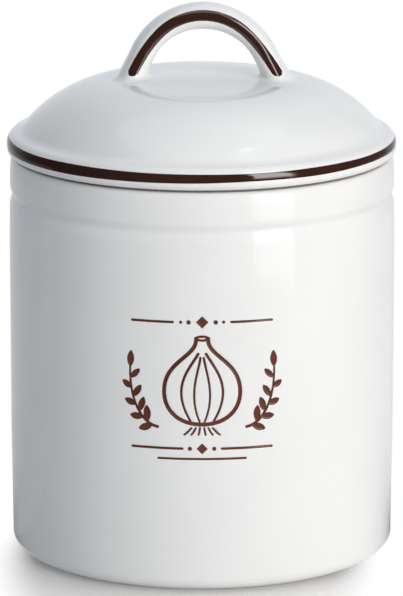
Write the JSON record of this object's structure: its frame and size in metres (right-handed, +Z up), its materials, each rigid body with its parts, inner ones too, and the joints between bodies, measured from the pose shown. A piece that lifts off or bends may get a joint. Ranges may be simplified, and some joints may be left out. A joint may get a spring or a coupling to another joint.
{
  "type": "garlic keeper",
  "caption": "Round glazed ceramic garlic keeper: an upright pot with air holes in its back wall and a domed lid that lifts off by an arched handle.",
  "frame": {"origin": "on the surface that the keeper stands on, at the centre of the foot ring", "axes": "+Z up the middle of the pot, the handle's arch in the XZ plane, -Y towards the decorated front and +Y towards the air holes"},
  "size_m": [0.1208, 0.1208, 0.1718],
  "materials": {
    "white_glaze": "glossy white glaze, slightly uneven",
    "brown_glaze": "glossy dark brown glaze",
    "bare_clay": "matt, unglazed foot ring and seat",
    "ornament_stain": "brown stain in a pressed ornament, under clear glaze"
  },
  "bodies": {
    "pot": {"pot": "white_glaze"},
    "lid": {"lid": "white_glaze", "lid_handle": "white_glaze", "lid_rim_line": "brown_glaze", "handle_line_front": "brown_glaze", "handle_line_back": "brown_glaze"}
  },
  "joints": [
    {"name": "lid_lift", "type": "slide", "parent": "pot", "child": "lid", "axis": [0, 0, 1], "range_m": [0, 0.12]}
  ]
}
